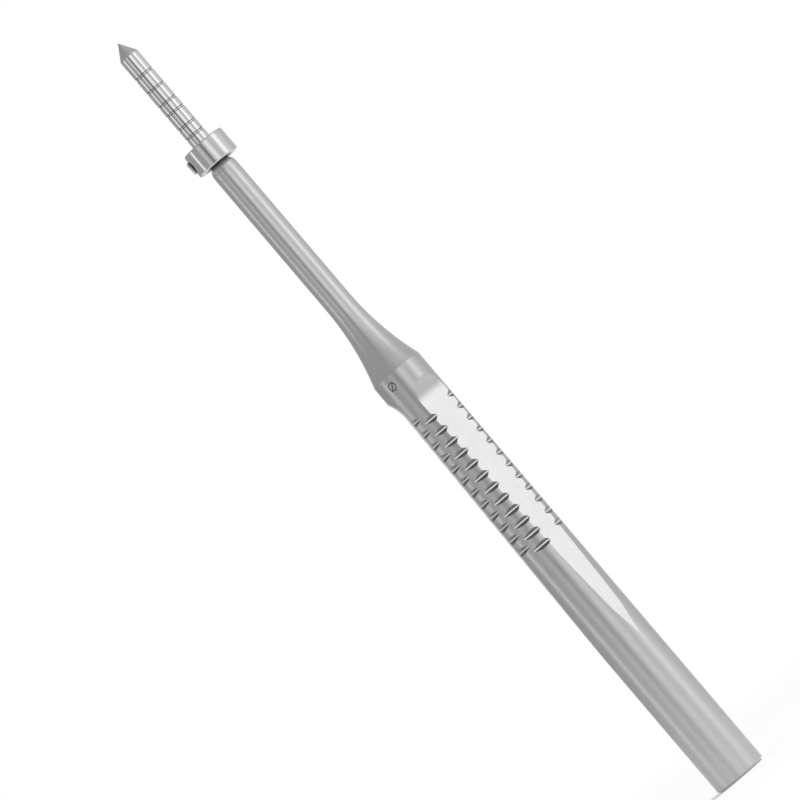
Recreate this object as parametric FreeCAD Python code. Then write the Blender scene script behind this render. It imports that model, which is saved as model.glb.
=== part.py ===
import FreeCAD, Part
import math
import os

# A straight bone chisel with an adjustable depth stop, in millimetres.
# The tool stands on its striking end with its point up, along Z.
# The origin is at the middle of the striking face.
# A station is a distance along the tool, measured back from its point.

# Chisel lengths
overall_length = 165.0
shoulder_station = 27.3
boss_station = 73.9
flat_station = 77.5

# Chisel diameters
rod_diameter = 3.7
shank_diameter = 5.0
handle_diameter = 9.86

# Point
point_angle = 64.0
point_edge_rounding = 0.25

# Depth rings on the rod: the station of the first, then a long or a short spacing to each next one
first_ring_station = 7.05
long_ring_spacing = 3.1
short_ring_spacing = 2.1
ring_width = 0.46
ring_floor_width = 0.26
ring_depth = 0.12

# Shoulder where the rod meets the shank: a steep chamfer, then a short lead-in
shoulder_chamfer_length = 0.65
shoulder_chamfer_depth = 0.37
shoulder_lead_length = 0.75
shoulder_lead_depth = 0.08

# Concave flare between shank and boss, tangent to the shank
flare_radius = 50.0

# Striking end
butt_chamfer = 0.5

# Flats on the handle, deepest at the boss and running out towards the barrel
flat_count = 3
flat_depth = 1.03
flat_length = 53.9
flat_cutter_radius = 7.0
first_flat_roll = 63.5

# Notches across both edges of each flat: a row's roll is from the middle of its flat,
# and the two rows are half a pitch apart
first_notch_station = 82.95
notch_pitch = 2.6
notches_in_row = 12
notch_row_roll = 35.0
notch_depth = 0.5
notch_floor_width = 0.28
notch_angle = 100.0

# Depth stop
stop_diameter = 8.2
stop_length = 4.5
stop_shoulder_gap = 0.35
stop_bore_clearance = 0.05
stop_edge_rounding = 0.25
stop_bore_chamfer = 0.12

# Set screw of the stop, standing out towards -X
screw_diameter = 2.5
screw_length = 2.65
screw_thread_clearance = 0.05
screw_rod_gap = 0.05
screw_head_chamfer = 0.25
screw_point_chamfer = 0.35
screw_socket_width = 1.3
screw_socket_depth = 1.2
screw_socket_sides = 6

# Radii and places that follow from the sizes above
rod_radius = rod_diameter / 2
shank_radius = shank_diameter / 2
handle_radius = handle_diameter / 2
stop_radius = stop_diameter / 2
screw_radius = screw_diameter / 2
point_length = rod_radius / math.tan(math.radians(point_angle / 2))
stop_back_station = shoulder_station - stop_shoulder_gap
stop_front_station = stop_back_station - stop_length
screw_station = (stop_front_station + stop_back_station) / 2
flat_distance = handle_radius - flat_depth
flat_root_station = flat_station + math.sqrt(2 * flat_cutter_radius * flat_depth - flat_depth**2)
ring_stations = [first_ring_station]
for spacing in (long_ring_spacing, long_ring_spacing, short_ring_spacing, long_ring_spacing, short_ring_spacing):
    ring_stations.append(ring_stations[-1] + spacing)

# One whole turn, in degrees
full_turn = 360
# How far cutting bodies reach past the faces they cut
overcut = 1.0
# How near two lengths are when they count as the same
tolerance = 1e-6

origin = FreeCAD.Vector(0, 0, 0)
across = FreeCAD.Vector(0, 1, 0)
up = FreeCAD.Vector(0, 0, 1)
screw_way = FreeCAD.Vector(-1, 0, 0)


def on_section(station, reach):
    """Point of the lengthwise section at a station and a reach from the tool's axis."""
    return FreeCAD.Vector(reach, 0, overall_length - station)


def outline(points):
    """Straight edges through the points in turn, left open at the end."""
    return [Part.LineSegment(start, end).toShape() for start, end in zip(points, points[1:])]


def face_inside(edges):
    """Flat face inside edges that close on themselves."""
    return Part.Face(Part.Wire(edges))


def turned(edges):
    """Solid of revolution about the tool's axis."""
    return face_inside(edges).revolve(origin, up, full_turn)


def rims(solid, station, radius):
    """Round edges of a turned solid at one station and of one radius."""
    height = on_section(station, radius).z
    found = []
    for edge in solid.Edges:
        if not isinstance(edge.Curve, Part.Circle):
            continue
        same_place = abs(edge.Curve.Center.z - height) < tolerance
        same_size = abs(edge.Curve.Radius - radius) < tolerance
        if same_place and same_size:
            found.append(edge)
    return found


def rolled(shape, roll):
    """Copy of a shape turned about the tool's axis."""
    copy = shape.copy()
    copy.rotate(origin, up, roll)
    return copy


def flare_edge():
    """Concave arc that leaves the shank along its side and ends at the boss's sharp rim."""
    rise = handle_radius - shank_radius
    sweep = math.acos(1 - rise / flare_radius)
    start_station = boss_station - flare_radius * math.sin(sweep)

    def arc_point(angle):
        station = start_station + flare_radius * math.sin(angle)
        return on_section(station, shank_radius + flare_radius * (1 - math.cos(angle)))

    arc = Part.Arc(arc_point(0), arc_point(sweep / 2), arc_point(sweep))
    return arc.toShape(), arc_point(0), arc_point(sweep)


def turned_blank():
    """The chisel as it leaves the lathe, before rings, flats and notches."""
    flare, flare_start, flare_end = flare_edge()
    lead_station = shoulder_station + shoulder_chamfer_length
    lead_radius = shank_radius - shoulder_lead_depth
    point = on_section(0, 0)
    front = outline([
        point,
        on_section(point_length, rod_radius),
        on_section(shoulder_station, rod_radius),
        on_section(shoulder_station, lead_radius - shoulder_chamfer_depth),
        on_section(lead_station, lead_radius),
        on_section(lead_station + shoulder_lead_length, shank_radius),
        flare_start,
    ])
    back = outline([
        flare_end,
        on_section(overall_length - butt_chamfer, handle_radius),
        on_section(overall_length, handle_radius - butt_chamfer),
        origin,
        point,
    ])
    blank = turned(front + [flare] + back)
    return blank.makeFillet(point_edge_rounding, rims(blank, point_length, rod_radius))


def ring_cutters():
    """One turned cutter for each depth ring, sloping in to a flat floor."""
    cutters = []
    slope = (ring_width - ring_floor_width) / 2 / ring_depth
    outer_half_width = ring_floor_width / 2 + slope * (ring_depth + overcut)
    floor_radius = rod_radius - ring_depth
    for station in ring_stations:
        corners = [
            on_section(station - ring_floor_width / 2, floor_radius),
            on_section(station + ring_floor_width / 2, floor_radius),
            on_section(station + outer_half_width, rod_radius + overcut),
            on_section(station - outer_half_width, rod_radius + overcut),
        ]
        cutters.append(turned(outline(corners + corners[:1])))
    return cutters


def flat_cutter():
    """Cutter for one flat facing +X: a round run-out at the boss, then a long gentle slope."""
    centre_reach = flat_distance + flat_cutter_radius
    sweep = math.acos(1 - flat_depth / flat_cutter_radius)

    def arc_point(angle):
        station = flat_root_station - flat_cutter_radius * math.sin(angle)
        return on_section(station, centre_reach - flat_cutter_radius * math.cos(angle))

    run_out = Part.Arc(arc_point(sweep), arc_point(sweep / 2), arc_point(0)).toShape()
    end_station = flat_root_station + flat_length
    slope = flat_depth / flat_length
    rest = outline([
        arc_point(0),
        on_section(end_station + overcut, handle_radius + slope * overcut),
        on_section(end_station + overcut, handle_radius + overcut),
        on_section(flat_station, handle_radius + overcut),
        arc_point(sweep),
    ])
    side = face_inside([run_out] + rest)
    side.translate(across * -handle_radius)
    return side.extrude(across * handle_diameter)


def notch_cutter(station):
    """Cutter for one notch facing +X: a wide V with a narrow flat floor, run straight across."""
    floor_reach = handle_radius - notch_depth
    spread = math.tan(math.radians(notch_angle / 2)) * (notch_depth + overcut)
    corners = [
        on_section(station - notch_floor_width / 2, floor_reach),
        on_section(station + notch_floor_width / 2, floor_reach),
        on_section(station + notch_floor_width / 2 + spread, handle_radius + overcut),
        on_section(station - notch_floor_width / 2 - spread, handle_radius + overcut),
    ]
    side = face_inside(outline(corners + corners[:1]))
    side.translate(across * -handle_radius)
    return side.extrude(across * handle_diameter)


def flat_rolls():
    """Roll of each flat about the tool's axis, from +X towards +Y."""
    return [first_flat_roll + full_turn / flat_count * index for index in range(flat_count)]


def notch_cutters():
    """Cutters for the staggered rows of notches, two rows to each flat."""
    row_starts = {1: first_notch_station, -1: first_notch_station + notch_pitch / 2}
    cutters = []
    for flat_roll in flat_rolls():
        for side, start in row_starts.items():
            for index in range(notches_in_row):
                notch = notch_cutter(start + index * notch_pitch)
                cutters.append(rolled(notch, flat_roll + side * notch_row_roll))
    return cutters


def chisel():
    """Point, ringed rod, shank, flare, boss and notched handle in one piece."""
    ringed = turned_blank().cut(ring_cutters())
    flatted = ringed.cut([rolled(flat_cutter(), roll) for roll in flat_rolls()])
    return flatted.cut(notch_cutters())


def depth_stop():
    """Collar that slides on the rod, with a plain bore and a cross hole for its screw."""
    bore_radius = rod_radius + stop_bore_clearance
    chamfered_bore = bore_radius + stop_bore_chamfer
    corners = [
        on_section(stop_front_station, chamfered_bore),
        on_section(stop_front_station, stop_radius),
        on_section(stop_back_station, stop_radius),
        on_section(stop_back_station, chamfered_bore),
        on_section(stop_back_station - stop_bore_chamfer, bore_radius),
        on_section(stop_front_station + stop_bore_chamfer, bore_radius),
    ]
    collar = turned(outline(corners + corners[:1]))
    outer_rims = rims(collar, stop_front_station, stop_radius) + rims(collar, stop_back_station, stop_radius)
    collar = collar.makeFillet(stop_edge_rounding, outer_rims)
    hole_radius = screw_radius + screw_thread_clearance
    hole = Part.makeCylinder(hole_radius, stop_radius + overcut, on_section(screw_station, 0), screw_way)
    return collar.cut(hole)


def hexagon(centre, corner_reach):
    """Closed outline that faces the screw's way, its corners at one distance from the centre."""
    corners = []
    for index in range(screw_socket_sides + 1):
        angle = math.radians(full_turn / screw_socket_sides * index)
        corners.append(centre + (up * math.cos(angle) + across * math.sin(angle)) * corner_reach)
    return outline(corners)


def stop_screw():
    """Set screw with a hexagon socket at its head and a chamfered point against the rod."""
    centre = on_section(screw_station, 0)
    point_reach = rod_radius + screw_rod_gap
    head_reach = point_reach + screw_length

    def on_screw(radius, reach):
        return centre + up * radius + screw_way * reach

    corners = [
        on_screw(0, point_reach),
        on_screw(screw_radius - screw_point_chamfer, point_reach),
        on_screw(screw_radius, point_reach + screw_point_chamfer),
        on_screw(screw_radius, head_reach - screw_head_chamfer),
        on_screw(screw_radius - screw_head_chamfer, head_reach),
        on_screw(0, head_reach),
    ]
    body = face_inside(outline(corners + corners[:1])).revolve(centre, screw_way, full_turn)
    socket_floor = centre + screw_way * (head_reach - screw_socket_depth)
    socket = face_inside(hexagon(socket_floor, screw_socket_width / math.sqrt(3)))
    return body.cut(socket.extrude(screw_way * (screw_socket_depth + overcut)))


os.makedirs("parts", exist_ok=True)
pieces = {
    "chisel": chisel(),
    "depth_stop": depth_stop(),
    "stop_screw": stop_screw(),
}
for name, shape in pieces.items():
    shape.exportStep("parts/" + name + ".step")
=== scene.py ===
import logging
import math
from dataclasses import dataclass
from enum import Enum
from typing import Union

import bmesh
import bpy
from mathutils import Matrix, Vector


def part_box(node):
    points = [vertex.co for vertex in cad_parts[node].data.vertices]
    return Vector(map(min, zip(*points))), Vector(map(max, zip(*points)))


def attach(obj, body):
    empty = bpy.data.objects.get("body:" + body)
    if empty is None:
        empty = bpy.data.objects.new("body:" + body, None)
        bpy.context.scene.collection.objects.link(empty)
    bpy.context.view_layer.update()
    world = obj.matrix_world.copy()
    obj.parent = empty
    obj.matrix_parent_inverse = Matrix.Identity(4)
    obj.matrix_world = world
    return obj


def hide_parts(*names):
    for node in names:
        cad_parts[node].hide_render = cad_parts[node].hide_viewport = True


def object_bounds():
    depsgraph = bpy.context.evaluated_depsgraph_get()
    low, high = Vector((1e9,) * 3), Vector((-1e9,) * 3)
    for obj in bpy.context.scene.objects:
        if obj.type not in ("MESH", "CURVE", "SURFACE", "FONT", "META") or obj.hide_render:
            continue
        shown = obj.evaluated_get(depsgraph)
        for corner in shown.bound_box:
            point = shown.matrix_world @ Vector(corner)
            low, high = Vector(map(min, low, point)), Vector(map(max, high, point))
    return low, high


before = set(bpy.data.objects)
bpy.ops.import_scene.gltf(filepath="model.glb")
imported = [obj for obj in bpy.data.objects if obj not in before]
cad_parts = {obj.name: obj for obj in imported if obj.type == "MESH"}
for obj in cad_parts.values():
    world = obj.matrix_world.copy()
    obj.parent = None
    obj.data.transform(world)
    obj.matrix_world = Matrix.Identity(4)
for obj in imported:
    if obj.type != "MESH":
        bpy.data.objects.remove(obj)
cad_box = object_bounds()

log = logging.getLogger("bone_chisel")

MM = 0.001
FULL_TURN = 360.0

# Widths in millimetres of the step from one finish to the next
CRISP = 0.02
SOFT = 0.04


class Value:
    """A number inside a shader, which Python's operators can work with."""

    def __init__(self, socket: bpy.types.NodeSocket) -> None:
        """Wraps the output socket that gives the number."""
        self.socket = socket

    def math(self, operation: str, *terms: "Number") -> "Value":
        """Adds one Math node.

        Args:
            operation: the Math node's operation.
            terms: what it works on, in order.

        Returns:
            The node's result.
        """
        tree = self.socket.id_data
        node = tree.nodes.new("ShaderNodeMath")
        node.operation = operation
        for slot, term in zip(node.inputs, terms):
            if isinstance(term, Value):
                tree.links.new(term.socket, slot)
            else:
                slot.default_value = term
        return Value(node.outputs[0])

    def __add__(self, other: "Number") -> "Value":
        """Sum."""
        return self.math("ADD", self, other)

    def __radd__(self, other: "Number") -> "Value":
        """Sum, with the number first."""
        return self.math("ADD", other, self)

    def __sub__(self, other: "Number") -> "Value":
        """Difference."""
        return self.math("SUBTRACT", self, other)

    def __rsub__(self, other: "Number") -> "Value":
        """Difference, with the number first."""
        return self.math("SUBTRACT", other, self)

    def __mul__(self, other: "Number") -> "Value":
        """Product."""
        return self.math("MULTIPLY", self, other)

    def __rmul__(self, other: "Number") -> "Value":
        """Product, with the number first."""
        return self.math("MULTIPLY", other, self)

    def __truediv__(self, other: "Number") -> "Value":
        """Quotient."""
        return self.math("DIVIDE", self, other)

    def __neg__(self) -> "Value":
        """The same size with the other sign."""
        return self.math("MULTIPLY", self, -1.0)

    def __abs__(self) -> "Value":
        """Size without the sign."""
        return self.math("ABSOLUTE", self)

    def root(self) -> "Value":
        """Square root."""
        return self.math("SQRT", self)

    def cosine(self) -> "Value":
        """Cosine of an angle in degrees."""
        return self.math("COSINE", self * math.radians(1.0))

    def sine(self) -> "Value":
        """Sine of an angle in degrees."""
        return self.math("SINE", self * math.radians(1.0))

    def angle_over(self, run: "Value") -> "Value":
        """Angle in degrees that rises by this value over a run."""
        return self.math("ARCTAN2", self, run) * math.degrees(1.0)

    def sine_angle(self) -> "Value":
        """Angle in degrees that has this value as its sine."""
        return self.math("ARCSINE", self) * math.degrees(1.0)

    def wrapped(self, period: float) -> "Value":
        """The value brought within half a period of zero by whole periods."""
        return self.math("WRAP", self, period / 2, -period / 2)

    def at_most(self, other: "Number") -> "Value":
        """The smaller of the two."""
        return self.math("MINIMUM", self, other)

    def at_least(self, other: "Number") -> "Value":
        """The larger of the two."""
        return self.math("MAXIMUM", self, other)


Number = Union[Value, float]


class Shader:
    """A node tree being put together."""

    noise_roughness: float = 0.55

    def __init__(self, tree: bpy.types.NodeTree) -> None:
        """Starts from an empty tree."""
        self.tree = tree
        tree.nodes.clear()

    def node(self, kind: str, settings: dict | None = None, inputs: dict | None = None) -> bpy.types.Node:
        """Adds one node.

        Args:
            kind: the node's type.
            settings: its properties by name, set first.
            inputs: values or links of its sockets, by name or number.

        Returns:
            The node.
        """
        made = self.tree.nodes.new(kind)
        for name, setting in (settings or {}).items():
            setattr(made, name, setting)
        for name, given in (inputs or {}).items():
            if isinstance(given, Value):
                self.tree.links.new(given.socket, made.inputs[name])
            elif isinstance(given, bpy.types.NodeSocket):
                self.tree.links.new(given, made.inputs[name])
            else:
                made.inputs[name].default_value = given
        return made

    def parts(self, vector: bpy.types.NodeSocket) -> tuple[Value, Value, Value]:
        """The three numbers of a vector."""
        split = self.node("ShaderNodeSeparateXYZ", inputs={"Vector": vector})
        return Value(split.outputs[0]), Value(split.outputs[1]), Value(split.outputs[2])

    def vector(self, x: Number, y: Number, z: Number) -> bpy.types.NodeSocket:
        """A vector from three numbers."""
        return self.node("ShaderNodeCombineXYZ", inputs={0: x, 1: y, 2: z}).outputs[0]

    def rise(self, value: Value, edge: float, softness: float) -> Value:
        """Smooth step from 0 to 1.

        Args:
            value: what is compared with the edge.
            edge: where the step is half way up.
            softness: how wide the step is.

        Returns:
            0 below the step and 1 above it.
        """
        settings = {"interpolation_type": "SMOOTHSTEP"}
        inputs = {"Value": value, "From Min": edge - softness / 2, "From Max": edge + softness / 2}
        return Value(self.node("ShaderNodeMapRange", settings, inputs).outputs["Result"])

    def between(self, value: Value, low: float, high: float, softness: float) -> Value:
        """1 from the low edge to the high one and 0 outside, with smooth steps."""
        return self.rise(value, low, softness) * (1.0 - self.rise(value, high, softness))

    def blend(self, start: Number, end: Number, share: Number) -> Value:
        """Number that goes from start to end as the share goes from 0 to 1."""
        inputs = {"Factor": share, "A": start, "B": end}
        return Value(self.node("ShaderNodeMix", {"data_type": "FLOAT"}, inputs).outputs["Result"])

    def noise(self, place: bpy.types.NodeSocket, scale: float, detail: float = 2.0) -> Value:
        """Smooth random number from 0 to 1 that changes over a place.

        Args:
            place: the vector that it changes over.
            scale: how many changes there are in one unit of the place.
            detail: how many finer layers are added.

        Returns:
            The random number.
        """
        inputs = {"Vector": place, "Scale": scale, "Detail": detail, "Roughness": self.noise_roughness}
        return Value(self.node("ShaderNodeTexNoise", inputs=inputs).outputs[0])


class Grain(Enum):
    """Way that the fine tool marks of a finish run."""

    ROUND = "round the axis of the piece"
    LENGTHWISE = "along the axis of the piece"
    EVEN = "the same every way"


@dataclass(frozen=True)
class Finish:
    """One finish of the steel, or a painted shade or highlight laid the same way.

    The spacing and depth of its tool marks are in millimetres. Mottle is how much the marks shade it.
    Stretch is how fast they change along the grain, as a share of how fast they change across it.
    """

    grey: float
    roughness: float
    grain: Grain
    spacing: float
    depth: float
    mottle: float = 0.05
    stretch: float = 0.08


POLISHED = Finish(grey=0.7, roughness=0.06, grain=Grain.ROUND, spacing=0.2, depth=0.00006)
GROUND_POINT = Finish(grey=0.6, roughness=0.32, grain=Grain.ROUND, spacing=0.12, depth=0.0006)
RING_FLOOR = Finish(grey=0.6, roughness=0.14, grain=Grain.ROUND, spacing=0.2, depth=0.0001)
# Painted shade: dark grey on the ring grooves' sides, standing in for the shade inside the grooves.
RING_SIDE_SHADE = Finish(grey=0.14, roughness=0.4, grain=Grain.ROUND, spacing=0.1, depth=0.0002)
# Painted shade: near-black grey standing in for the shade in narrow gaps, bores and holes.
PAINTED_SHADE = Finish(grey=0.1, roughness=0.4, grain=Grain.ROUND, spacing=0.1, depth=0.0002)
# Painted light: a grey brighter than the shank's steel, lifting the shoulder chamfer, which reflects the
# collar's shaded underside.
LIGHTENED_SHOULDER = Finish(grey=0.85, roughness=0.45, grain=Grain.ROUND, spacing=0.1, depth=0.0004)
SATIN = Finish(grey=0.61, roughness=0.31, grain=Grain.ROUND, spacing=0.2, depth=0.00004)
BARREL = Finish(grey=0.56, roughness=0.33, grain=Grain.ROUND, spacing=0.2, depth=0.0001)
MILLED = Finish(grey=0.67, roughness=0.3, grain=Grain.LENGTHWISE, spacing=0.16, depth=0.0006, mottle=0.16)
RUN_OUT = Finish(grey=0.5, roughness=0.3, grain=Grain.EVEN, spacing=0.16, depth=0.0004, mottle=0.1)
# Painted highlight: a thin bright line along the edges of the flats
EDGE_HIGHLIGHT = Finish(grey=0.9, roughness=0.34, grain=Grain.LENGTHWISE, spacing=0.2, depth=0.0003)
# Painted shade: dark grey on the notches' walls, standing in for the shade inside them
NOTCH_SIDE_SHADE = Finish(grey=0.25, roughness=0.36, grain=Grain.LENGTHWISE, spacing=0.12, depth=0.0006)
# Painted highlight: a grey brighter than any steel on the narrow floors of the notches
NOTCH_FLOOR_HIGHLIGHT = Finish(grey=0.93, roughness=0.3, grain=Grain.EVEN, spacing=0.2, depth=0.0003)
FACED = Finish(grey=0.56, roughness=0.28, grain=Grain.EVEN, spacing=0.2, depth=0.0004)
ETCHED = Finish(grey=0.05, roughness=0.6, grain=Grain.EVEN, spacing=0.1, depth=0.0003)
TURNED = Finish(grey=0.65, roughness=0.19, grain=Grain.ROUND, spacing=0.2, depth=0.00012)
SCREW_STEEL = Finish(grey=0.58, roughness=0.3, grain=Grain.ROUND, spacing=0.1, depth=0.0003)
# Painted shade: dark grey inside the screw's hexagon socket
SOCKET_SHADE = Finish(grey=0.24, roughness=0.4, grain=Grain.LENGTHWISE, spacing=0.1, depth=0.0005)


@dataclass(frozen=True)
class Handling:
    """What handling leaves on every finish, and the steel's tint. A scale is changes in a millimetre."""

    cloud_scale: float = 0.35
    cloud_detail: float = 3.0
    least_roughness: float = 0.86
    cloud_roughness: float = 0.28
    streak_scale_across: float = 2.4
    streak_scale_along: float = 0.25
    least_shade: float = 0.965
    streak_shade: float = 0.07
    green: float = 0.987
    blue: float = 0.992


HANDLING = Handling()


class Steel:
    """Material of one piece, on which finishes are laid one over another."""

    def __init__(self, name: str, finish: Finish) -> None:
        """Starts the material.

        Args:
            name: the material's name.
            finish: what the piece has wherever nothing else is laid.
        """
        self.material = bpy.data.materials.new(name)
        self.material.use_nodes = True
        self.shader = Shader(self.material.node_tree)
        place = self.shader.node("ShaderNodeTexCoord").outputs["Object"]
        to_mm = {0: place, "Scale": 1 / MM}
        self.place = self.shader.node("ShaderNodeVectorMath", {"operation": "SCALE"}, to_mm).outputs[0]
        self.x, self.y, self.z = self.shader.parts(self.place)
        self.reach = (self.x * self.x + self.y * self.y).root()
        self.roll = self.y.angle_over(self.x)
        marks = self.marks(finish)
        self.grey: Number = self.shade(finish, marks)
        self.roughness: Number = finish.roughness
        self.height: Number = marks * finish.depth
        self.normal = self.shader.node("ShaderNodeNewGeometry").outputs["Normal"]

    def marks(self, finish: Finish) -> Value:
        """Tool marks of a finish, from 0 in their grooves to 1 on their crests."""
        fine = 1 / finish.spacing
        long = finish.stretch / finish.spacing
        if finish.grain is Grain.ROUND:
            stretched = self.shader.vector(self.x * long, self.y * long, self.z * fine)
        elif finish.grain is Grain.LENGTHWISE:
            stretched = self.shader.vector(self.x * fine, self.y * fine, self.z * long)
        else:
            stretched = self.shader.vector(self.x * fine, self.y * fine, self.z * fine)
        return self.shader.noise(stretched, 1.0)

    def shade(self, finish: Finish, marks: Value) -> Value:
        """Grey of a finish where its marks have some height."""
        return finish.grey * (1.0 + (marks - 0.5) * finish.mottle)

    def lay(self, finish: Finish, where: Value) -> None:
        """Lays a finish over what is there.

        Args:
            finish: the finish.
            where: 1 where it covers and 0 where it doesn't.
        """
        marks = self.marks(finish)
        self.grey = self.shader.blend(self.grey, self.shade(finish, marks), where)
        self.roughness = self.shader.blend(self.roughness, finish.roughness, where)
        self.height = self.shader.blend(self.height, marks * finish.depth, where)

    def true_up(self, where: Value, slope: Number = 0.0) -> None:
        """Shades a turned wall as truly round about the Z axis, without the mesh's facets.

        Args:
            where: 1 on the wall and 0 elsewhere.
            slope: how much the wall's radius grows over its length on the way down.
        """
        outwards = {0: self.shader.vector(self.x / self.reach, self.y / self.reach, slope)}
        exact = self.shader.node("ShaderNodeVectorMath", {"operation": "NORMALIZE"}, outwards)
        normals = {0: where, 4: self.normal, 5: exact.outputs[0]}
        self.normal = self.shader.node("ShaderNodeMix", {"data_type": "VECTOR"}, normals).outputs[1]

    def finished(self) -> bpy.types.Material:
        """Closes the material.

        Returns:
            The material, with handling marks over all its finishes.
        """
        across = HANDLING.streak_scale_across
        along = HANDLING.streak_scale_along
        clouds = self.shader.noise(self.place, HANDLING.cloud_scale, HANDLING.cloud_detail)
        drawn_out = self.shader.vector(self.x * across, self.y * across, self.z * along)
        streaks = self.shader.noise(drawn_out, 1.0)
        roughness = self.roughness * (HANDLING.least_roughness + HANDLING.cloud_roughness * clouds)
        shade = self.grey * (HANDLING.least_shade + HANDLING.streak_shade * streaks)
        tinted = {0: shade, 1: shade * HANDLING.green, 2: shade * HANDLING.blue}
        colour = self.shader.node("ShaderNodeCombineColor", inputs=tinted)
        relief = {"Height": self.height, "Distance": MM, "Strength": 1.0, "Normal": self.normal}
        bump = self.shader.node("ShaderNodeBump", inputs=relief)
        inputs = {
            "Base Color": colour.outputs[0],
            "Metallic": 1.0,
            "Roughness": roughness,
            "Normal": bump.outputs[0],
        }
        principled = self.shader.node("ShaderNodeBsdfPrincipled", inputs=inputs)
        self.shader.node("ShaderNodeOutputMaterial", inputs={"Surface": principled.outputs[0]})
        return self.material


def dressed(piece: bpy.types.Object, material: bpy.types.Material) -> None:
    """Gives a piece one material in place of what it has."""
    piece.data.materials.clear()
    piece.data.materials.append(material)


@dataclass(frozen=True)
class SizeMark:
    """Plain diameter sign on the boss: a ring with a stroke through it."""

    station: float = 75.75
    roll: float = -118.5
    ring_radius: float = 0.72
    stroke_reach: float = 1.02
    line_width: float = 0.15
    line_softness: float = 0.06
    stroke_lean: float = -50.0

    def drawn(self, steel: Steel, station: Value, surface_radius: float) -> Value:
        """Where the sign is etched.

        Args:
            steel: the material that the sign goes on.
            station: distance back from the point, in millimetres.
            surface_radius: radius of the surface that carries the sign.

        Returns:
            1 on the sign's lines and 0 elsewhere.
        """
        shader = steel.shader
        turn = (steel.roll - self.roll).wrapped(FULL_TURN)
        across = turn * math.radians(surface_radius)
        along = station - self.station
        away = (across * across + along * along).root()
        ring = 1.0 - shader.rise(abs(away - self.ring_radius), self.line_width / 2, self.line_softness)
        lean = math.radians(self.stroke_lean)
        beside = abs(across * math.sin(lean) - along * math.cos(lean))
        stroke = 1.0 - shader.rise(beside, self.line_width / 2, self.line_softness)
        stroke = stroke * (1.0 - shader.rise(away, self.stroke_reach, self.line_softness))
        return ring.at_least(stroke)


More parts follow.
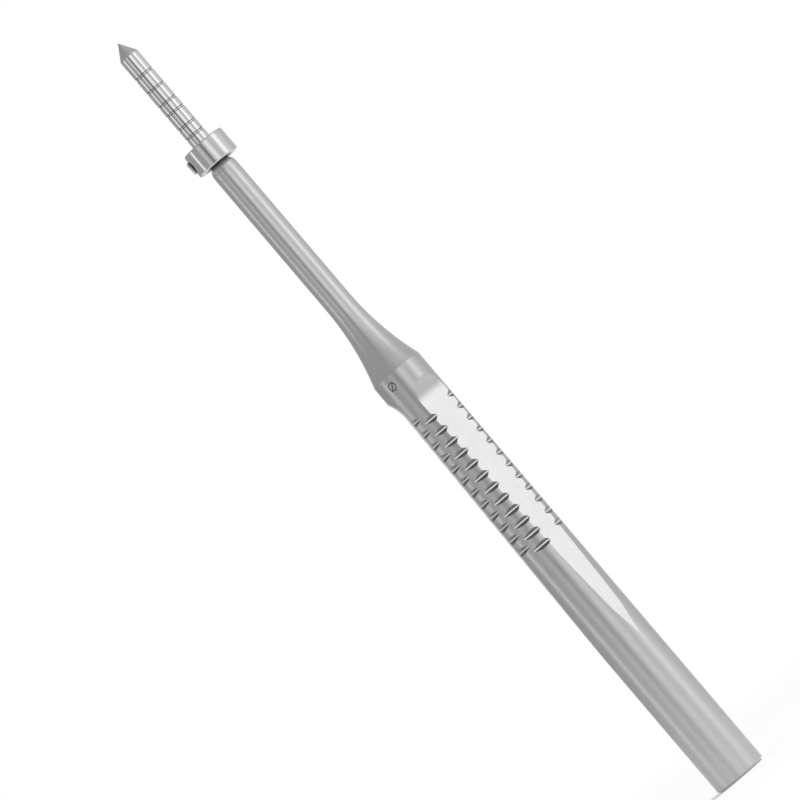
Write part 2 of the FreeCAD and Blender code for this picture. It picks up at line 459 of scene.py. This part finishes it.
@dataclass(frozen=True)
class Chisel:
    """The chisel itself: point, ringed rod, shank, flare, boss and notched handle.

    Sizes are in millimetres and rolls in degrees. A station is a distance back from the point. A softness
    or a fade is the width over which one finish gives way to the next, and an overlap is how far a finish
    reaches past the edge of its own stretch.
    """

    length: float
    handle_radius: float
    shank_radius: float = 2.5
    point_length: float = 2.96
    ground_overlap: float = 0.12
    ground_softness: float = 0.16
    round_overlap: float = 0.15
    # How far before the shoulder the rod gets painted shade, in the gap under the collar
    gap_shade_length: float = 0.36
    shoulder_station: float = 27.3
    shoulder_length: float = 0.65
    shoulder_depth: float = 0.37
    lead_length: float = 0.75
    lead_depth: float = 0.08
    flare_radius: float = 50.0
    boss_station: float = 73.9
    first_ring_station: float = 7.05
    ring_spacings: tuple[float, ...] = (3.1, 3.1, 2.1, 3.1, 2.1)
    ring_width: float = 0.46
    ring_floor_width: float = 0.26
    butt_chamfer: float = 0.5
    flat_count: int = 3
    first_flat_roll: float = 63.5
    flat_depth: float = 1.03
    flat_length: float = 53.9
    flat_station: float = 77.5
    flat_cutter_radius: float = 7.0
    flat_end_softness: float = 0.1
    tip_taper: float = 0.18
    tip_softness: float = 0.05
    edge_start: float = 0.03
    edge_width: float = 0.06
    run_out_edge: float = 0.45
    run_out_edge_change: float = 1.0
    run_out_fade_lead: float = 0.8
    run_out_fade: float = 1.8
    first_notch_station: float = 82.95
    notch_pitch: float = 2.6
    notches_in_row: int = 12
    notch_floor_width: float = 0.28
    notch_width: float = 1.5
    notch_rim: float = 0.06
    row_lead: float = 1.2
    row_softness: float = 0.2
    roll_softness: float = 0.2
    mark: SizeMark = SizeMark()

    @property
    def run_out(self) -> float:
        """Length of the round run-out at the start of each flat."""
        return math.sqrt(2 * self.flat_cutter_radius * self.flat_depth - self.flat_depth**2)

    def on_rings(self, steel: Steel, station: Value) -> tuple[Value, Value]:
        """Where the depth rings are.

        Args:
            steel: the chisel's material.
            station: distance back from the point, in millimetres.

        Returns:
            1 inside the rings, and 1 on their floors alone.
        """
        ring_station = self.first_ring_station
        away = abs(station - ring_station)
        for spacing in self.ring_spacings:
            ring_station += spacing
            away = away.at_most(abs(station - ring_station))
        whole = 1.0 - steel.shader.rise(away, self.ring_width / 2, CRISP)
        return whole, 1.0 - steel.shader.rise(away, self.ring_floor_width / 2, CRISP)

    def on_flats(self, steel: Steel, station: Value) -> tuple[Value, Value]:
        """Where the flats are.

        Args:
            steel: the chisel's material.
            station: distance back from the point, in millimetres.

        Returns:
            1 on the flats and their run-outs, and 1 on the narrow band round them that gets a painted
            highlight.
        """
        shader = steel.shader
        sector = FULL_TURN / self.flat_count
        turn = (steel.roll - self.first_flat_roll).wrapped(sector)
        outwards = steel.reach * turn.cosine()
        root_reach = self.handle_radius - self.flat_depth
        past_root = station - (self.flat_station + self.run_out)
        slope = self.flat_depth / self.flat_length
        before = past_root.at_most(0.0)
        round_rise = self.flat_cutter_radius - (self.flat_cutter_radius**2 - before * before).root()
        surface = root_reach + round_rise + past_root.at_least(0.0) * slope
        above = outwards - surface
        edge_softness = self.edge_width / 4
        on_flat = 1.0 - shader.rise(abs(above), self.edge_start, edge_softness)
        on_slope = shader.rise(past_root, -self.run_out_edge_change / 2, self.run_out_edge_change)
        widening = shader.blend(self.run_out_edge, 1.0, on_slope)
        edge_end = self.edge_start + self.edge_width
        by_flat = shader.between(above * widening, self.edge_start, edge_end, edge_softness)
        end_station = self.flat_station + self.run_out + self.flat_length
        aside = abs(steel.reach * turn.sine())
        tip = 1.0 - shader.rise(aside - (end_station - station) * self.tip_taper, 0.0, self.tip_softness)
        start_station = self.flat_station - self.flat_end_softness
        between_ends = shader.between(station, start_station, end_station, self.flat_end_softness) * tip
        return on_flat * between_ends, by_flat * between_ends

    def on_notches(self, steel: Steel, station: Value, flats: Value) -> tuple[Value, Value]:
        """Where the notches are.

        Args:
            steel: the chisel's material.
            station: distance back from the point, in millimetres.
            flats: 1 on the flats.

        Returns:
            1 inside the notches, and 1 on their floors alone.
        """
        shader = steel.shader
        last_station = self.first_notch_station + self.notch_pitch * self.notches_in_row
        start_station = self.first_notch_station - self.row_lead
        in_rows = shader.between(station, start_station, last_station, self.row_softness)
        below = 1.0 - shader.rise(steel.reach, self.handle_radius - self.notch_rim, self.notch_rim / 2)
        turn = (steel.roll - self.first_flat_roll).wrapped(FULL_TURN / self.flat_count)
        later_row = 1.0 - shader.rise(turn, 0.0, self.roll_softness)
        step = station - self.first_notch_station - later_row * (self.notch_pitch / 2)
        from_middle = abs(step.wrapped(self.notch_pitch))
        within = 1.0 - shader.rise(from_middle, self.notch_width / 2, CRISP)
        inside = in_rows * below * within * (1.0 - flats)
        floor = 1.0 - shader.rise(from_middle, self.notch_floor_width / 2, CRISP)
        return inside, inside * floor

    def slope(self, steel: Steel, station: Value) -> Value:
        """How much the turned walls' radius grows over their length, away from the point.

        Args:
            steel: the chisel's material.
            station: distance back from the point, in millimetres.

        Returns:
            The slope of the shoulder and of the flare, and 0 on the straight walls.
        """
        shader = steel.shader
        sweep = math.acos(1 - (self.handle_radius - self.shank_radius) / self.flare_radius)
        flare_start = self.boss_station - self.flare_radius * math.sin(sweep)
        share = ((station - flare_start) / self.flare_radius).at_least(0.0).at_most(math.sin(sweep))
        arc_slope = share / (1.0 - share * share).root()
        flare = arc_slope * (1.0 - shader.rise(station, self.boss_station, CRISP))
        chamfer_end = self.shoulder_station + self.shoulder_length
        chamfer = shader.between(station, self.shoulder_station, chamfer_end, CRISP)
        lead = shader.between(station, chamfer_end, chamfer_end + self.lead_length, CRISP)
        chamfer_slope = self.shoulder_depth / self.shoulder_length
        return flare + chamfer * chamfer_slope + lead * (self.lead_depth / self.lead_length)

    def dress(self) -> bpy.types.Object:
        """Gives the chisel its finishes, painted shade and painted highlights, each at its place.

        Returns:
            The dressed piece.
        """
        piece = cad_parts["chisel"]
        steel = Steel("chisel_steel", POLISHED)
        shader = steel.shader
        station = self.length - steel.z
        ground_end = self.point_length + self.ground_overlap
        steel.lay(GROUND_POINT, 1.0 - shader.rise(station, ground_end, self.ground_softness))
        rings, ring_floors = self.on_rings(steel, station)
        # Painted shade on the sides of the depth rings
        steel.lay(RING_SIDE_SHADE, rings)
        steel.lay(RING_FLOOR, ring_floors)
        # Painted shade on the rod in the narrow gap between the collar and the shoulder
        steel.lay(PAINTED_SHADE, shader.rise(station, self.shoulder_station - self.gap_shade_length, SOFT))
        # Painted light on the shoulder chamfer
        steel.lay(LIGHTENED_SHOULDER, shader.rise(station, self.shoulder_station - CRISP, CRISP))
        steel.lay(SATIN, shader.rise(station, self.shoulder_station + self.shoulder_length, SOFT))
        steel.lay(BARREL, shader.rise(station, self.boss_station, SOFT))
        flats, edge_highlights = self.on_flats(steel, station)
        steel.lay(MILLED, flats)
        run_out_end = self.flat_station + self.run_out - self.run_out_fade_lead
        steel.lay(RUN_OUT, flats * (1.0 - shader.rise(station, run_out_end, self.run_out_fade)))
        notches, notch_floors = self.on_notches(steel, station, flats)
        # Painted shade on the notch walls
        steel.lay(NOTCH_SIDE_SHADE, notches)
        # Painted highlight on the notch floors
        steel.lay(NOTCH_FLOOR_HIGHLIGHT, notch_floors)
        # Painted highlight along the flats' edges
        steel.lay(EDGE_HIGHLIGHT, edge_highlights * (1.0 - notches))
        steel.lay(ETCHED, self.mark.drawn(steel, station, self.handle_radius))
        butt_station = self.length - self.butt_chamfer
        steel.lay(FACED, shader.rise(station, butt_station, SOFT))
        rod_start = self.point_length + self.round_overlap
        rod = shader.between(station, rod_start, self.shoulder_station - CRISP, CRISP)
        behind = shader.between(station, self.shoulder_station + CRISP, butt_station, CRISP)
        round_walls = rod * (1.0 - rings) + behind * (1.0 - flats) * (1.0 - notches)
        steel.true_up(round_walls, self.slope(steel, station))
        dressed(piece, steel.finished())
        return piece


@dataclass(frozen=True)
class DepthStop:
    """The plain turned collar that slides on the rod. Sizes in millimetres, low and high along Z."""

    radius: float
    low: float
    high: float
    bore_radius: float = 1.9
    edge_rounding: float = 0.27
    wall_depth: float = 0.1
    wall_softness: float = 0.05
    face_rim: float = 0.3
    face_softness: float = 0.2
    bore_shade: float = 0.9
    bore_softness: float = 0.8

    def dress(self) -> bpy.types.Object:
        """Gives the collar a fine-turned finish with painted shade round its bore.

        Returns:
            The dressed piece.
        """
        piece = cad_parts["depth_stop"]
        steel = Steel("stop_steel", TURNED)
        shader = steel.shader
        steel.lay(FACED, 1.0 - shader.rise(steel.reach, self.radius - self.face_rim, self.face_softness))
        # Painted shade on the end faces round the bore
        shade_radius = self.bore_radius + self.bore_shade
        steel.lay(PAINTED_SHADE, 1.0 - shader.rise(steel.reach, shade_radius, self.bore_softness))
        wall_low = self.low + self.edge_rounding
        wall = shader.between(steel.z, wall_low, self.high - self.edge_rounding, CRISP)
        outside = shader.rise(steel.reach, self.radius - self.wall_depth, self.wall_softness)
        steel.true_up(wall * outside)
        dressed(piece, steel.finished())
        return piece


@dataclass(frozen=True)
class StopScrew:
    """The set screw that clamps the collar, with its thread and hexagon socket. Sizes in millimetres."""

    centre_height: float
    point_reach: float
    head_reach: float
    radius: float
    stop_radius: float
    pitch: float = 0.45
    thread_depth: float = 0.26
    crest_share: float = 0.125
    root_share: float = 0.25
    head_chamfer: float = 0.25
    point_chamfer: float = 0.35
    point_ring_share: float = 0.45
    socket_sides: int = 6
    socket_width: float = 1.3
    socket_depth: float = 1.2
    socket_cone_depth: float = 0.25
    socket_tip_radius: float = 0.05
    mouth_depth: float = 0.05
    mouth_widening: float = 1.06
    steps_round: int = 60
    steps_in_pitch: int = 12
    sharp_angle: float = 28.0
    finish_margin: float = 0.05
    solid_point: float = 0.5
    # How far out of the collar's hole the screw gets painted shade
    entry_shade_length: float = 0.08

    def thread_radius(self, travel: float, turn: float) -> float:
        """Radius of the threaded side.

        Args:
            travel: distance from the screw's point towards its head.
            turn: share of a turn round the screw's axis.

        Returns:
            The radius at that place.
        """
        phase = (travel / self.pitch - turn) % 1.0
        flank = (abs(phase - 0.5) * 2 - self.crest_share) / (1 - self.crest_share - self.root_share)
        run_out = (self.stop_radius - self.point_reach - travel) / self.pitch
        depth = self.thread_depth * min(max(run_out, 0.0), 1.0)
        radius = self.radius - depth * min(max(flank, 0.0), 1.0)
        length = self.head_reach - self.point_reach
        from_point = self.radius - self.point_chamfer + travel
        from_head = self.radius - self.head_chamfer + (length - travel)
        return min(radius, from_point, from_head)

    def at(self, radius: float, turn: float, travel: float) -> Vector:
        """Place of a point of the screw.

        Args:
            radius: distance from the screw's axis.
            turn: share of a turn round the screw's axis.
            travel: distance from the screw's point towards its head.

        Returns:
            The place in metres.
        """
        angle = turn * math.tau
        aside = radius * math.sin(angle)
        height = self.centre_height + radius * math.cos(angle)
        return Vector((-(self.point_reach + travel), aside, height)) * MM

    def loops(self) -> list[list[Vector]]:
        """Rings of points from the middle of the screw's point, over its side, down into its socket.

        Returns:
            The rings, each with the same number of points.
        """
        length = self.head_reach - self.point_reach
        shares = [index / self.steps_round for index in range(self.steps_round)]
        steps = round(length / self.pitch * self.steps_in_pitch)
        rings = [[self.at(self.point_ring_share * self.radius, share, 0.0) for share in shares]]
        for index in range(steps + 1):
            travel = length * index / steps
            rings.append([self.at(self.thread_radius(travel, share), share, travel) for share in shares])
        mouth = (self.mouth_widening, length)
        throat = (1.0, length - self.mouth_depth)
        floor = (1.0, length - self.socket_depth)
        for widening, travel in (mouth, throat, floor):
            radii = [self.hexagon_radius(share) * widening for share in shares]
            rings.append([self.at(radius, share, travel) for radius, share in zip(radii, shares)])
        tip = length - self.socket_depth - self.socket_cone_depth
        rings.append([self.at(self.socket_tip_radius, share, tip) for share in shares])
        return rings

    def hexagon_radius(self, share: float) -> float:
        """Distance from the axis to the socket's wall at a share of a turn."""
        from_side = share * self.socket_sides % 1.0 - 0.5
        return self.socket_width / 2 / math.cos(from_side * math.tau / self.socket_sides)

    def build(self) -> bpy.types.Object:
        """Builds and dresses the screw.

        Returns:
            The piece, which rides on the screw's body.
        """
        shape = bmesh.new()
        rings = [[shape.verts.new(point) for point in ring] for ring in self.loops()]
        for near, far in zip(rings, rings[1:]):
            for index in range(self.steps_round):
                after = (index + 1) % self.steps_round
                shape.faces.new((near[index], near[after], far[after], far[index]))
        shape.faces.new(rings[0])
        shape.faces.new(rings[-1])
        bmesh.ops.recalc_face_normals(shape, faces=shape.faces)
        mesh = bpy.data.meshes.new("threaded_stop_screw")
        shape.to_mesh(mesh)
        shape.free()
        mesh.shade_smooth()
        mesh.set_sharp_from_angle(angle=math.radians(self.sharp_angle))
        piece = bpy.data.objects.new("threaded_stop_screw", mesh)
        bpy.context.scene.collection.objects.link(piece)
        dressed(piece, self.steel())
        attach(piece, "screw")
        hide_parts("stop_screw")
        return piece

    def steel(self) -> bpy.types.Material:
        """Finishes the screw.

        Returns:
            Machined steel, with painted shade in the socket and where the screw enters the collar.
        """
        steel = Steel("screw_steel", SCREW_STEEL)
        shader = steel.shader
        rise = steel.z - self.centre_height
        from_axis = (steel.y * steel.y + rise * rise).root()
        socket_radius = self.socket_width / 2 + self.finish_margin
        in_socket = 1.0 - shader.rise(from_axis, socket_radius, self.finish_margin)
        off_point = 1.0 - shader.rise(steel.x, -(self.point_reach + self.solid_point), self.finish_margin)
        # Painted shade on the screw where it enters the collar's hole
        steel.lay(PAINTED_SHADE, shader.rise(steel.x, -(self.stop_radius + self.entry_shade_length), self.entry_shade_length))
        # Painted shade inside the socket
        steel.lay(SOCKET_SHADE, in_socket * off_point)
        return steel.finished()


@dataclass(frozen=True)
class Panel:
    """A pale or dark panel of the studio, as the steel sees it. Angles in degrees."""

    bearing: float
    width: float
    edge: float
    light: float
    low: float = -90.0
    high: float = 90.0
    fade: float = 10.0


def low_panel(bearing: float, width: float, edge: float, light: float) -> Panel:
    """A panel below the object, which the steel shows in views from above."""
    return Panel(bearing, width, edge, light, low=-70.0, high=-11.0, fade=8.0)


@dataclass(frozen=True)
class Studio:
    """Pale floor and soft light, in metres. A bearing is an angle from +X towards the camera's side."""

    wall_light: float = 0.7
    upper_light: float = 0.46
    upper_height: float = 20.0
    upper_fade: float = 30.0
    floor_radius: float = 0.4
    floor_fade: float = 0.28
    floor_sides: int = 96
    floor_grey: float = 0.8
    floor_glow: float = 0.25
    lamp_size: float = 1.2
    lamp_power: float = 22.0
    lamp_place: tuple[float, float, float] = (0.9, -0.5, 1.9)
    panels: tuple[Panel, ...] = (
        Panel(bearing=12.0, width=130.0, edge=50.0, light=0.64, low=24.0, high=70.0, fade=16.0),
        Panel(bearing=50.0, width=32.0, edge=12.0, light=1.0, low=12.0, high=23.0, fade=6.0),
        Panel(bearing=180.0, width=140.0, edge=20.0, light=0.45),
        Panel(bearing=-2.0, width=26.0, edge=20.0, light=0.89, low=-8.0, high=16.0, fade=14.0),
        Panel(bearing=24.5, width=23.0, edge=9.0, light=1.48, low=-10.0, high=24.0, fade=18.0),
        Panel(bearing=77.0, width=20.0, edge=10.0, light=1.25, low=-8.0, high=13.0, fade=12.0),
        Panel(bearing=103.5, width=11.0, edge=5.0, light=0.14, low=-30.0, high=25.0, fade=20.0),
        Panel(bearing=124.0, width=14.0, edge=8.0, light=0.84, low=-9.0, high=14.0, fade=10.0),
        Panel(bearing=170.5, width=7.5, edge=5.0, light=1.95, low=-6.0, high=12.0, fade=9.0),
        low_panel(bearing=2.0, width=20.0, edge=14.0, light=1.2),
        low_panel(bearing=77.0, width=20.0, edge=12.0, light=0.95),
        low_panel(bearing=104.0, width=14.0, edge=8.0, light=0.2),
        low_panel(bearing=140.0, width=20.0, edge=12.0, light=0.8),
        low_panel(bearing=214.0, width=26.0, edge=14.0, light=1.2),
        low_panel(bearing=246.0, width=14.0, edge=10.0, light=0.25),
        low_panel(bearing=274.0, width=24.0, edge=14.0, light=1.05),
        low_panel(bearing=318.0, width=30.0, edge=16.0, light=0.35),
    )

    def light_world(self) -> None:
        """Makes the world, in which the camera sees white and the steel reflects a soft studio."""
        world = bpy.data.worlds.new("studio")
        world.use_nodes = True
        bpy.context.scene.world = world
        shader = Shader(world.node_tree)
        x, y, z = shader.parts(shader.node("ShaderNodeTexCoord").outputs["Generated"])
        bearing = (-y).angle_over(x)
        height = z.sine_angle()
        overhead = shader.rise(height, self.upper_height, self.upper_fade)
        light = shader.blend(self.wall_light, self.upper_light, overhead)
        for panel in self.panels:
            turn = abs((bearing - panel.bearing).wrapped(FULL_TURN))
            beside = 1.0 - shader.rise(turn, panel.width / 2, panel.edge)
            level = shader.between(height, panel.low, panel.high, panel.fade)
            light = shader.blend(light, panel.light, beside * level)
        rays = shader.node("ShaderNodeLightPath")
        direct = Value(rays.outputs["Is Camera Ray"]).at_least(Value(rays.outputs["Is Transmission Ray"]))
        strength = shader.blend(light, 1.0, direct)
        plain_light = {"Color": (1.0, 1.0, 1.0, 1.0), "Strength": strength}
        background = shader.node("ShaderNodeBackground", inputs=plain_light)
        shader.node("ShaderNodeOutputWorld", inputs={"Surface": background.outputs[0]})

    def lay_floor(self) -> bpy.types.Object:
        """Lays a round pale floor that fades out into the background.

        Returns:
            The floor, which belongs to the studio and not to the tool.
        """
        shape = bmesh.new()
        bmesh.ops.create_circle(shape, cap_ends=True, radius=self.floor_radius, segments=self.floor_sides)
        mesh = bpy.data.meshes.new("studio_floor")
        shape.to_mesh(mesh)
        shape.free()
        floor = bpy.data.objects.new("studio_floor", mesh)
        bpy.context.scene.collection.objects.link(floor)
        floor.location.z = cad_box[0].z
        material = bpy.data.materials.new("pale_floor")
        material.use_nodes = True
        shader = Shader(material.node_tree)
        x, y, _ = shader.parts(shader.node("ShaderNodeTexCoord").outputs["Object"])
        away = (x * x + y * y).root()
        middle = self.floor_radius - self.floor_fade / 2
        shown = 1.0 - shader.rise(away, middle, self.floor_fade)
        rays = shader.node("ShaderNodeLightPath")
        seen = Value(rays.outputs["Is Camera Ray"]).at_least(Value(rays.outputs["Is Glossy Ray"]))
        lift = seen.at_least(Value(rays.outputs["Is Transmission Ray"])) * self.floor_glow
        grey = (self.floor_grey,) * 3 + (1.0,)
        matt = shader.node("ShaderNodeBsdfDiffuse", inputs={"Color": grey})
        glow = shader.node("ShaderNodeEmission", inputs={"Strength": lift})
        lit = shader.node("ShaderNodeAddShader", inputs={0: matt.outputs[0], 1: glow.outputs[0]})
        clear = shader.node("ShaderNodeBsdfTransparent")
        mix = shader.node("ShaderNodeMixShader", inputs={0: shown, 1: clear.outputs[0], 2: lit.outputs[0]})
        shader.node("ShaderNodeOutputMaterial", inputs={"Surface": mix.outputs[0]})
        dressed(floor, material)
        return floor

    def hang_lamp(self) -> bpy.types.Object:
        """Hangs a large soft lamp above and to one side, for the shadow on the floor.

        Returns:
            The lamp.
        """
        lamp = bpy.data.lights.new("overhead_softbox", "AREA")
        lamp.shape = "DISK"
        lamp.size = self.lamp_size
        lamp.energy = self.lamp_power
        hung = bpy.data.objects.new("overhead_softbox", lamp)
        bpy.context.scene.collection.objects.link(hung)
        hung.location = self.lamp_place
        hung.rotation_euler = (-hung.location).to_track_quat("-Z", "Y").to_euler()
        hung.visible_glossy = False
        return hung

    def build(self) -> None:
        """Sets up the world, the floor and the lamp."""
        self.light_world()
        self.lay_floor()
        self.hang_lamp()
        bpy.context.scene.view_settings.view_transform = "Standard"


@dataclass(frozen=True)
class PhotographCamera:
    """Camera at the photograph's viewing angle. Lengths in metres, lean in degrees."""

    distance: float = 1.18
    height: float = 0.0417
    target_height: float = 0.08687
    target_aside: float = -0.00278
    frame_width: float = 0.1371
    sensor_width: float = 36.0
    lean: float = 40.38

    def build(self) -> bpy.types.Object:
        """Sets up the camera.

        Returns:
            The camera, which is the scene's own.
        """
        data = bpy.data.cameras.new("photograph_camera")
        camera = bpy.data.objects.new("photograph_camera", data)
        bpy.context.scene.collection.objects.link(camera)
        place = Vector((0.0, -self.distance, self.height))
        target = Vector((self.target_aside, 0.0, self.target_height))
        view = target - place
        data.sensor_width = self.sensor_width
        data.lens = self.sensor_width * view.length / self.frame_width
        lean = math.radians(self.lean)
        backwards = -view.normalized()
        upwards = Vector((math.sin(lean), 0.0, math.cos(lean)))
        right = upwards.cross(backwards).normalized()
        upwards = backwards.cross(right)
        turn = Matrix((right, upwards, backwards)).transposed()
        camera.matrix_world = Matrix.Translation(place) @ turn.to_4x4()
        bpy.context.scene.camera = camera
        return camera


def main() -> None:
    """Builds the camera, the studio and the pieces of the tool in turn."""
    logging.basicConfig(level=logging.INFO, format="%(message)s")
    PhotographCamera().build()
    Studio().build()
    _, chisel_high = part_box("chisel")
    stop_low, stop_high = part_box("depth_stop")
    screw_low, screw_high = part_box("stop_screw")
    chisel = Chisel(length=chisel_high.z / MM, handle_radius=chisel_high.x / MM)
    log.info("dressed %s", chisel.dress().name)
    stop = DepthStop(radius=stop_high.x / MM, low=stop_low.z / MM, high=stop_high.z / MM)
    log.info("dressed %s", stop.dress().name)
    screw = StopScrew(
        centre_height=(stop_low.z + stop_high.z) / 2 / MM,
        point_reach=-screw_high.x / MM,
        head_reach=-screw_low.x / MM,
        radius=screw_high.y / MM,
        stop_radius=stop_high.x / MM,
    )
    log.info("built %s", screw.build().name)


if __name__ == "__main__":
    main()
